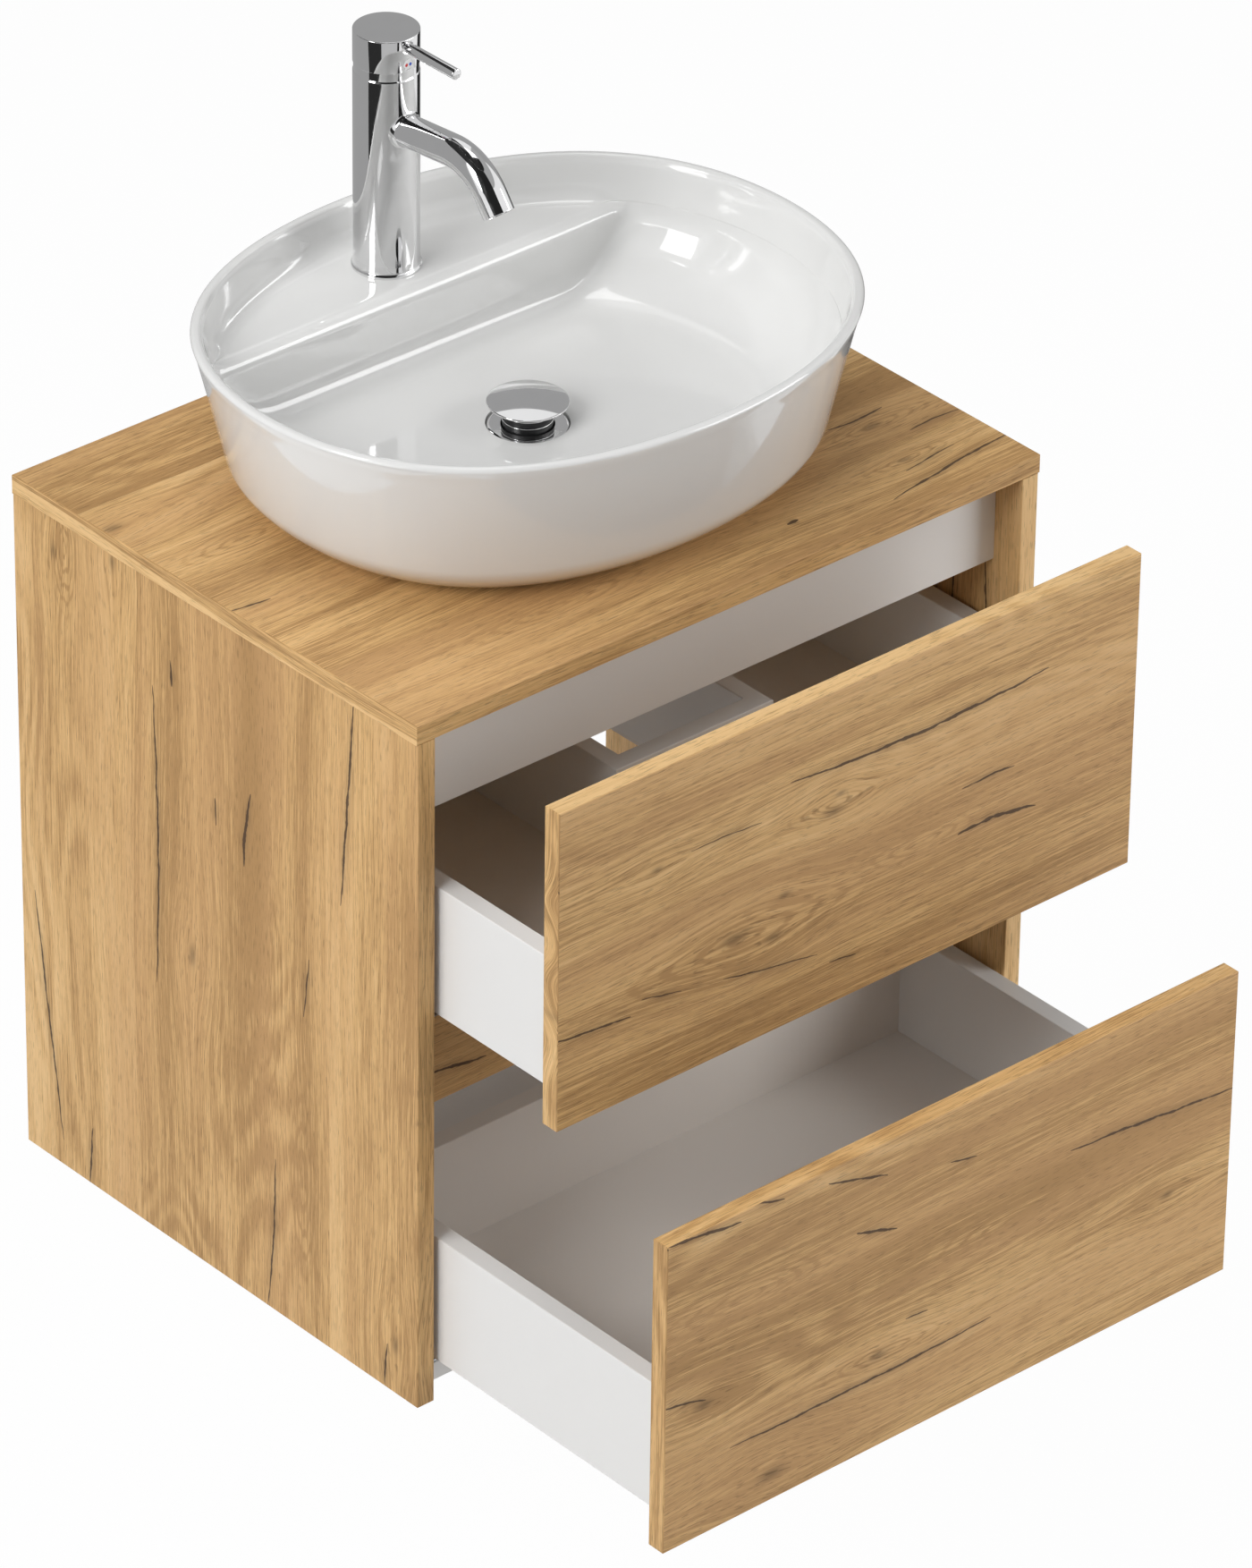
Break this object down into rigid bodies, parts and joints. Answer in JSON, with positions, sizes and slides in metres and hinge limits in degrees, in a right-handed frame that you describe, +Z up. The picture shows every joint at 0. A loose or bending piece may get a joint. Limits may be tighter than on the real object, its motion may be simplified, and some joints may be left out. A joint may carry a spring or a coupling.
{
  "type": "vessel sink on vanity",
  "caption": "Wall-hung vanity with an oval vessel basin, a lever mixer tap, a push-button waste and drawers on undermount runners, the upper one cut out for the trap.",
  "frame": {"origin": "centre of the holes that bolt the wall plates to the wall, on the wall's face", "axes": "+X to the right, +Y into the wall, +Z up; the drawers open towards -Y"},
  "size_m": [0.6, 0.714, 0.8844],
  "materials": {
    "oak": "oak-faced board with dark cracks, satin",
    "white_board": "white melamine-faced board",
    "zinc": "zinc-plated",
    "beech": "plain beech",
    "runner_steel": "galvanised sheet steel",
    "hanger_nylon": "white nylon",
    "clip_plastic": "grey plastic",
    "ceramic": "white sanitary ceramic, glazed",
    "chrome": "polished chrome on brass",
    "aerator_chrome": "chrome ring with a fine screen",
    "dome_chrome": "chrome ring",
    "brass": "machined brass",
    "seal_rubber": "black rubber",
    "cartridge_plastic": "cartridge housing",
    "black_plastic": "black plastic",
    "indicator": "white disc with a red and a blue dot"
  },
  "bodies": {
    "cabinet": {"countertop": "oak", "side_panel_left": "oak", "side_panel_right": "oak", "top_front_rail": "white_board", "middle_rail": "oak", "rear_rail": "white_board", "bottom_panel": "white_board", "cam_locks": "zinc", "cam_bolts": "zinc", "panel_dowels": "beech", "wall_hangers": "hanger_nylon", "hanger_screws": "zinc", "wall_plates": "zinc", "basin": "ceramic", "waste_flange": "chrome", "waste_top_seal": "seal_rubber", "waste_bottom_seal": "seal_rubber", "waste_backnut": "brass", "tap_body": "chrome", "aerator": "aerator_chrome", "tap_base_ring": "chrome", "tap_fixing_stud": "brass", "tap_fixing_washer": "zinc", "tap_fixing_nut": "zinc", "tap_cartridge": "cartridge_plastic", "tap_dome_ring": "dome_chrome", "upper_runner_fixed": "runner_steel", "lower_runner_fixed": "runner_steel", "runner_screws": "zinc"},
    "upper_runner": {"upper_runner_middle": "runner_steel", "upper_runner_glides": "hanger_nylon"},
    "lower_runner": {"lower_runner_middle": "runner_steel", "lower_runner_glides": "hanger_nylon"},
    "upper_drawer": {"upper_drawer_front": "oak", "upper_drawer_side_left": "white_board", "upper_drawer_side_right": "white_board", "upper_drawer_back": "white_board", "upper_drawer_floor": "white_board", "upper_drawer_well_walls": "white_board", "upper_drawer_carriers": "runner_steel", "upper_drawer_clips": "clip_plastic"},
    "lower_drawer": {"lower_drawer_front": "oak", "lower_drawer_side_left": "white_board", "lower_drawer_side_right": "white_board", "lower_drawer_back": "white_board", "lower_drawer_floor": "white_board", "lower_drawer_carriers": "runner_steel", "lower_drawer_clips": "clip_plastic"},
    "tap_turret": {"cartridge_turret": "cartridge_plastic"},
    "tap_handle": {"tap_head": "chrome", "tap_lever": "chrome", "cartridge_spindle": "brass", "head_grub_screw": "zinc", "tap_indicator": "indicator"},
    "waste_plug": {"plug_cap": "chrome", "plug_stem": "black_plastic", "plug_rings": "chrome"}
  },
  "joints": [
    {"name": "upper_drawer_slide", "type": "slide", "parent": "cabinet", "child": "upper_drawer", "axis": [0, -1, 0], "range_m": [-0.131, 0.219]},
    {"name": "lower_drawer_slide", "type": "slide", "parent": "cabinet", "child": "lower_drawer", "axis": [0, -1, 0], "range_m": [-0.252, 0.098]},
    {"name": "upper_runner_slide", "type": "slide", "parent": "cabinet", "child": "upper_runner", "axis": [0, -1, 0], "range_m": [-0.0655, 0.1095]},
    {"name": "lower_runner_slide", "type": "slide", "parent": "cabinet", "child": "lower_runner", "axis": [0, -1, 0], "range_m": [-0.126, 0.049]},
    {"name": "tap_turn", "type": "hinge", "parent": "cabinet", "child": "tap_turret", "pos_m": [0, -0.0695, 0.3117], "axis": [0, 0, 1], "range_deg": [-45, 45]},
    {"name": "tap_lift", "type": "hinge", "parent": "tap_turret", "child": "tap_handle", "pos_m": [0, -0.0695, 0.3117], "axis": [-1, 0, 0], "range_deg": [0, 22]},
    {"name": "plug_press", "type": "slide", "parent": "cabinet", "child": "waste_plug", "axis": [0, 0, 1], "range_m": [-0.016, 0], "stiffness_N_per_m": 400, "springref_m": 0.012}
  ],
  "couplings": [
    {"joint": "upper_runner_slide", "follows": "upper_drawer_slide", "ratio": 0.5},
    {"joint": "lower_runner_slide", "follows": "lower_drawer_slide", "ratio": 0.5}
  ]
}
